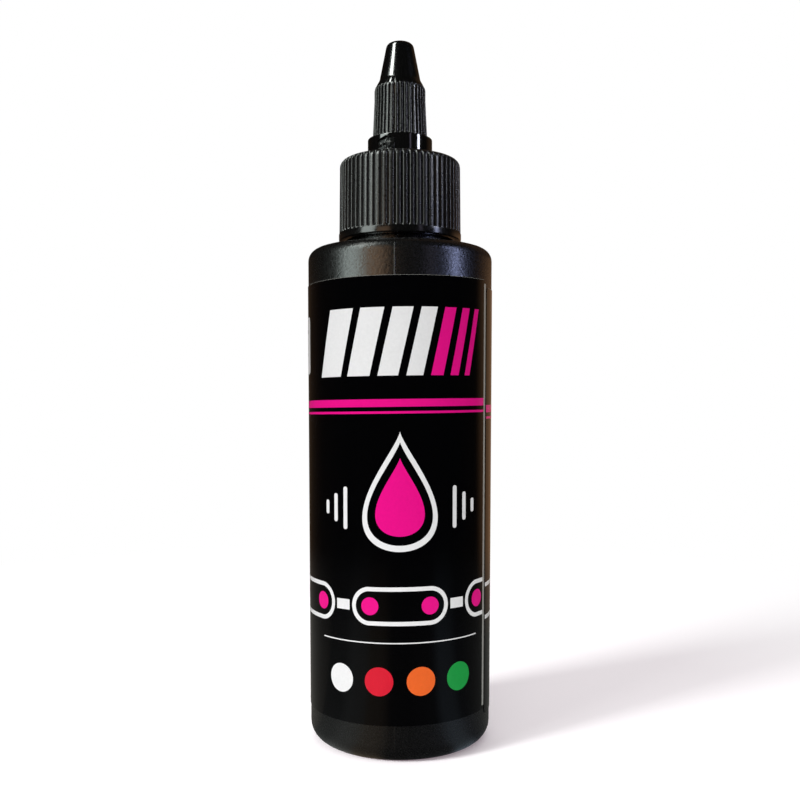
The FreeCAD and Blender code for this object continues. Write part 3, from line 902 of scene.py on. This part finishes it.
class LUBE_OT_nozzle(bpy.types.Operator):
    """Mould the twist nozzle with its ribbed grip and smooth cone"""
    bl_idname = "lube.nozzle"
    bl_label = "Twist nozzle"

    def execute(self, context):
        n = context.scene.lube_nozzle
        satin = moulded_pp("Moulded polypropylene, ribbed grip", n.plastic, 0.3, 0.6, 0.01 * MM)
        polished = moulded_pp("Moulded polypropylene, polished cone", n.plastic, 0.13, 0.8, 0.003 * MM)
        band_top = n.foot + n.band
        flare_top = n.foot + n.flare_top
        ledge = 0.5 * MM
        slope = (n.grip_radius - n.foot_radius) / (flare_top - band_top)
        outline = soft_outline([
            (n.bore, n.foot, 0.2 * MM),
            (n.foot_radius, n.foot, 0.2 * MM),
            (n.foot_radius, band_top, 0),
            *ledge_points(n.foot_radius, band_top, slope, ledge, (0.33, 0.67, 1.0)),
            (n.grip_radius, flare_top, 0),
            (n.grip_radius, n.foot + n.grip_top, n.grip_round),
            (n.cone_radius, n.foot + n.cone_foot, 0.3 * MM),
            (n.tip_radius, n.tip, n.tip_round),
            (n.orifice_radius, n.tip, 0.2 * MM),
            (n.orifice_radius, n.tip - n.orifice_length, 0),
            (n.chamber_radius, n.tip - n.orifice_length, 0),
            (n.cone_radius - n.wall, n.foot + n.roof, 0),
            (n.bore, n.foot + n.roof, 0),
        ], steps=8)
        bm = turned(outline, n.ribs * RIB_FACETS)
        grip_end = n.foot + n.grip_top + 0.4 * MM
        cut_grooves(bm, n.ribs,
                    lambda z: max(n.foot_radius + slope * (z - band_top), n.grip_radius) - n.rib_depth,
                    band_top, ledge, grip_end, floor_share=0.25, fullness=4.5)
        paint_where(bm, 1, lambda radius, z: z > grip_end or z < band_top)
        place_piece(bm, "nozzle_moulding", [satin, polished], "nozzle", ["twist_nozzle"])
        return {"FINISHED"}


# What the plastic mirrors, by share of a turn from the left through the front, right and back: a dim room,
# and the table in it, whose near part the windows tint
ROOM = ((0.0, "#241E1A"), (0.06, "#141312"), (0.25, "#0C0C0C"), (0.45, "#121216"), (0.55, "#2E241C"),
        (0.6, "#AA8260"), (0.72, "#A07A5A"), (0.78, "#4E3D2F"), (0.9, "#3A2D23"), (0.95, "#261E18"))
TABLE = ((0.0, "#6E706E"), (0.07, "#8C908E"), (0.1, "#B6BAB8"), (0.145, "#B4B4AE"), (0.16, "#AE9F8B"),
         (0.2, "#A08F7C"), (0.225, "#4A4846"), (0.27, "#404042"), (0.35, "#5A5C60"), (0.375, "#A2B2C0"),
         (0.41, "#98A6B2"), (0.44, "#60646A"), (0.5, "#6E706E"), (0.75, "#8A8882"))

# What the lamps reach, by how the names of the pieces start. The torn stub leans to the floor, so the left
# window reaches it only in part, and it has lamps of its own.
REACHED = {"bottle": ("bottle", "parting", "neck"), "closure": ("cap", "nozzle", "liner"), "stub": ("tear",),
           "floor": ("floor",)}

# The windows only draw the highlights on the plastic: the film hangs in their shade. Each has its name, what
# it reaches, degrees to the right of the front and of climb, width and height in metres, watts and colour.
WINDOWS = (
    ("left_window", "bottle", -61, 14, (0.3, 0.7), 3.8, "#E6F4F0"),
    ("warm_window", "bottle", -31, 14, (0.26, 0.45), 0.83, "#FFD0A6"),
    ("faint_strip", "bottle", 38, 14, (0.05, 0.6), 0.1, "#DCD4F4"),
    ("right_strip", "bottle", 71, 15, (0.087, 0.55), 1.93, "#BECAFF"),
    ("shoulder_streak", "bottle", -57, 50, (0.2, 0.3), 1.2, "#F4FAF4"),
    ("cap_left", "closure", -61, 14, (0.3, 0.7), 4.5, "#E8F2EE"),
    ("cap_warm", "closure", -31, 6, (0.26, 0.25), 0.28, "#FFD0A6"),
    ("cap_faint", "closure", 38, 14, (0.05, 0.6), 0.1, "#DCD4F4"),
    ("cap_right", "closure", 71, 15, (0.087, 0.55), 1.3, "#CCD6FF"),
    ("cap_glint", "closure", 71, 26, (0.08, 0.12), 0.5, "#FFFFFF"),
    ("cone_strip", "closure", -57, 50, (0.16, 0.3), 3.2, "#F4FAF4"),
    ("stub_left", "stub", -63, 14, (0.28, 0.7), 1.2, "#E6F4F0"),
    ("stub_high", "stub", -57, 50, (0.16, 0.3), 3.2, "#F4FAF4"),
)

# The lamps that only light, in white and at a plain level: the name, degrees to the right of the front and of
# climb, distance and side in metres, and watts. The last one lights the floor alone, for the long shadow.
LIGHTS = (
    ("side_key", -50, 25, 0.9, 0.3, 3.1),
    ("soft_fill", 10, 40, 0.8, 0.8, 2.5),
    ("soft_back", 175, 40, 0.8, 0.8, 2.4),
    ("floor_key", -57, 20, 0.9, 0.2, 9.0),
)


class LUBE_OT_stage(bpy.types.Operator):
    """Lay the floor, set the lamps and the backdrop, and stand the camera in front"""
    bl_idname = "lube.stage"
    bl_label = "Stage"

    def execute(self, context):
        g = context.scene.lube_stage
        self.lay_floor(g)
        self.paint_backdrop(context, g)
        groups = {name: self.group(context, f"lit_{name}", starts) for name, starts in REACHED.items()}
        for name, reached, turn, climb_angle, size, watts, code in WINDOWS:
            lamp = self.hang_lamp(context, name, turn, climb_angle, g.window_distance, size, watts, code)
            lamp.visible_diffuse = False
            lamp.light_linking.receiver_collection = groups[reached]
        for name, turn, climb_angle, distance, side, watts in LIGHTS:
            lamp = self.hang_lamp(context, name, turn, climb_angle, distance, (side, side), watts, "#FFFFFF")
            lamp.visible_glossy = False
        lamp.light_linking.receiver_collection = groups["floor"]
        context.scene.view_settings.view_transform = "Standard"

        camera = bpy.data.cameras.new("photo_camera")
        camera.lens = g.lens
        camera.sensor_width = 36.0
        camera.shift_y = g.lift
        camera.clip_start = 0.01
        eye = bpy.data.objects.new("photo_camera", camera)
        eye.location = (0, -g.eye_distance, g.eye_height)
        eye.rotation_euler = (math.pi / 2 - g.look_down, 0, 0)
        context.scene.collection.objects.link(eye)
        context.scene.camera = eye
        return {"FINISHED"}

    def group(self, context, name, starts):
        """A collection for the meshes that a lamp reaches."""
        collection = bpy.data.collections.new(name)
        for piece in context.scene.objects:
            if piece.type == "MESH" and piece.name.startswith(starts):
                collection.objects.link(piece)
        return collection

    def lay_floor(self, g):
        """A round sheet of paper that is white to the camera and still takes the bottle's shadow."""
        reflectance, table_level = 0.85, 0.65
        material, tree, place = new_material("White paper, matt")
        reach = add_node(tree, "ShaderNodeVectorMath", {0: place}, operation="LENGTH").outputs["Value"]
        far = spread(tree, reach, g.lit_reach, g.white_reach, 0.0, 1.0)
        path = add_node(tree, "ShaderNodeLightPath")
        seen = self.seen_straight(tree, path)
        left_in_shadow = add_node(tree, "ShaderNodeMath", {0: seen, 1: g.shadow_light}, operation="MULTIPLY")
        matt = add_node(tree, "ShaderNodeBsdfDiffuse", {"Color": shade(g.paper, reflectance)})
        glow = self.emission(tree, g.glow, left_in_shadow.outputs[0])
        lit = add_node(tree, "ShaderNodeAddShader", {0: matt.outputs[0], 1: glow})
        sheet = self.mix(tree, far, lit.outputs[0], self.emission(tree, g.paper, seen))
        # Black plastic mirrors it as a table that runs into the dim room
        table = self.emission(tree, self.ring_of_colour(tree, place, TABLE), table_level)
        room = self.emission(tree, self.ring_of_colour(tree, place, ROOM), 1.0)
        mirrored = self.mix(tree, far, table, room)
        both = self.mix(tree, path.outputs["Is Glossy Ray"], sheet, mirrored)
        add_node(tree, "ShaderNodeOutputMaterial", {"Surface": both})
        bm = bmesh.new()
        bmesh.ops.create_circle(bm, cap_ends=True, radius=g.floor_radius, segments=64)
        shown(bm, "floor", [material])

    def paint_backdrop(self, context, g):
        """White to the camera and an even grey as light. Mirrored, it is a dim room."""
        world = bpy.data.worlds.new("studio")
        context.scene.world = world
        world.use_nodes = True
        tree = world.node_tree
        tree.nodes.clear()
        direction = add_node(tree, "ShaderNodeTexCoord").outputs["Generated"]
        # Only the lower part of the room is warm, so the closure's rims stay dark
        warm_below, dark_above, dark_level = 0.12, 0.22, 0.22
        height = add_node(tree, "ShaderNodeSeparateXYZ", {0: direction}).outputs["Z"]
        level = spread(tree, height, warm_below, dark_above, 1.0, dark_level)
        path = add_node(tree, "ShaderNodeLightPath")
        room, light, paper = (
            add_node(tree, "ShaderNodeBackground", {"Color": tint, "Strength": strength}).outputs[0]
            for tint, strength in ((self.ring_of_colour(tree, direction, ROOM), level),
                                   (g.paper, g.room_light), (g.paper, 1.0)))
        unseen = self.mix(tree, path.outputs["Is Glossy Ray"], light, room)
        both = self.mix(tree, self.seen_straight(tree, path), unseen, paper)
        add_node(tree, "ShaderNodeOutputWorld", {"Surface": both})

    def seen_straight(self, tree, path):
        """1 for the camera's own rays, also past a clear piece, and 0 for light and mirrored rays."""
        return add_node(tree, "ShaderNodeMath", {0: path.outputs["Is Camera Ray"],
                                                 1: path.outputs["Is Transmission Ray"]},
                        operation="MAXIMUM").outputs[0]

    def emission(self, tree, tint, strength):
        """A surface that only glows."""
        return add_node(tree, "ShaderNodeEmission", {"Color": tint, "Strength": strength}).outputs[0]

    def mix(self, tree, share, first, second):
        """Two surfaces in one, the second by its share."""
        return add_node(tree, "ShaderNodeMixShader", {0: share, 1: first, 2: second}).outputs[0]

    def ring_of_colour(self, tree, direction, stops):
        """Colours round the upright axis, by share of a turn."""
        around = add_node(tree, "ShaderNodeTexGradient", {"Vector": direction}, gradient_type="RADIAL")
        ring = add_node(tree, "ShaderNodeValToRGB", {"Fac": around.outputs["Fac"]})
        ramp = ring.color_ramp
        while len(ramp.elements) < len(stops):
            ramp.elements.new(0.5)
        # All the places come first, because the ramp sorts its stops by them
        for element, (place, code) in zip(ramp.elements, stops):
            element.position = place
        for element, (place, code) in zip(ramp.elements, stops):
            element.color = linear_colour(code)
        return ring.outputs["Color"]

    def hang_lamp(self, context, name, turn, climb_angle, distance, size, watts, code):
        """A soft lamp, unseen by the camera, turned right from the front, raised, and looking at the aim."""
        lamp = bpy.data.lights.new(name, "AREA")
        lamp.shape = "RECTANGLE"
        lamp.size, lamp.size_y = size
        lamp.energy = watts
        lamp.color = linear_colour(code)[:3]
        holder = bpy.data.objects.new(name, lamp)
        angle = FRONT + math.radians(turn)
        rise = math.radians(climb_angle)
        outward = Vector((math.cos(angle) * math.cos(rise), math.sin(angle) * math.cos(rise), math.sin(rise)))
        holder.location = Vector((0, 0, context.scene.lube_stage.aim)) + outward * distance
        holder.rotation_euler = outward.to_track_quat("Z", "Y").to_euler()
        holder.visible_camera = False
        context.scene.collection.objects.link(holder)
        return holder


class LUBE_PT_panel(bpy.types.Panel):
    """Lists the settings and the steps of the build"""
    bl_idname = "LUBE_PT_panel"
    bl_label = "Lube bottle"
    bl_space_type = "VIEW_3D"
    bl_region_type = "UI"
    bl_category = "Lube bottle"

    def draw(self, context):
        for title, name, group, operators in GROUPS:
            box = self.layout.box()
            box.label(text=title)
            for prop in group.__annotations__:
                box.prop(getattr(context.scene, name), prop)
            for operator in operators:
                box.operator(operator.bl_idname)


GROUPS = (
    ("Bottle", "lube_bottle", BottleSettings, (LUBE_OT_bottle,)),
    ("Label", "lube_label", LabelSettings, (LUBE_OT_label, LUBE_OT_label_print)),
    ("Closure", "lube_closure", ClosureSettings, (LUBE_OT_liner, LUBE_OT_cap, LUBE_OT_tear_tab)),
    ("Nozzle", "lube_nozzle", NozzleSettings, (LUBE_OT_nozzle,)),
    ("Stage", "lube_stage", StageSettings, (LUBE_OT_stage,)),
)


def register():
    for title, name, group, operators in GROUPS:
        bpy.utils.register_class(group)
        setattr(bpy.types.Scene, name, PointerProperty(type=group))
        for operator in operators:
            bpy.utils.register_class(operator)
    bpy.utils.register_class(LUBE_PT_panel)


def unregister():
    bpy.utils.unregister_class(LUBE_PT_panel)
    for title, name, group, operators in reversed(GROUPS):
        for operator in reversed(operators):
            bpy.utils.unregister_class(operator)
        delattr(bpy.types.Scene, name)
        bpy.utils.unregister_class(group)


def main():
    register()
    bpy.ops.lube.bottle()
    bpy.ops.lube.label()
    bpy.ops.lube.label_print()
    bpy.ops.lube.liner()
    bpy.ops.lube.cap()
    bpy.ops.lube.tear_tab()
    bpy.ops.lube.nozzle()
    bpy.ops.lube.stage()


if __name__ == "__main__":
    main()
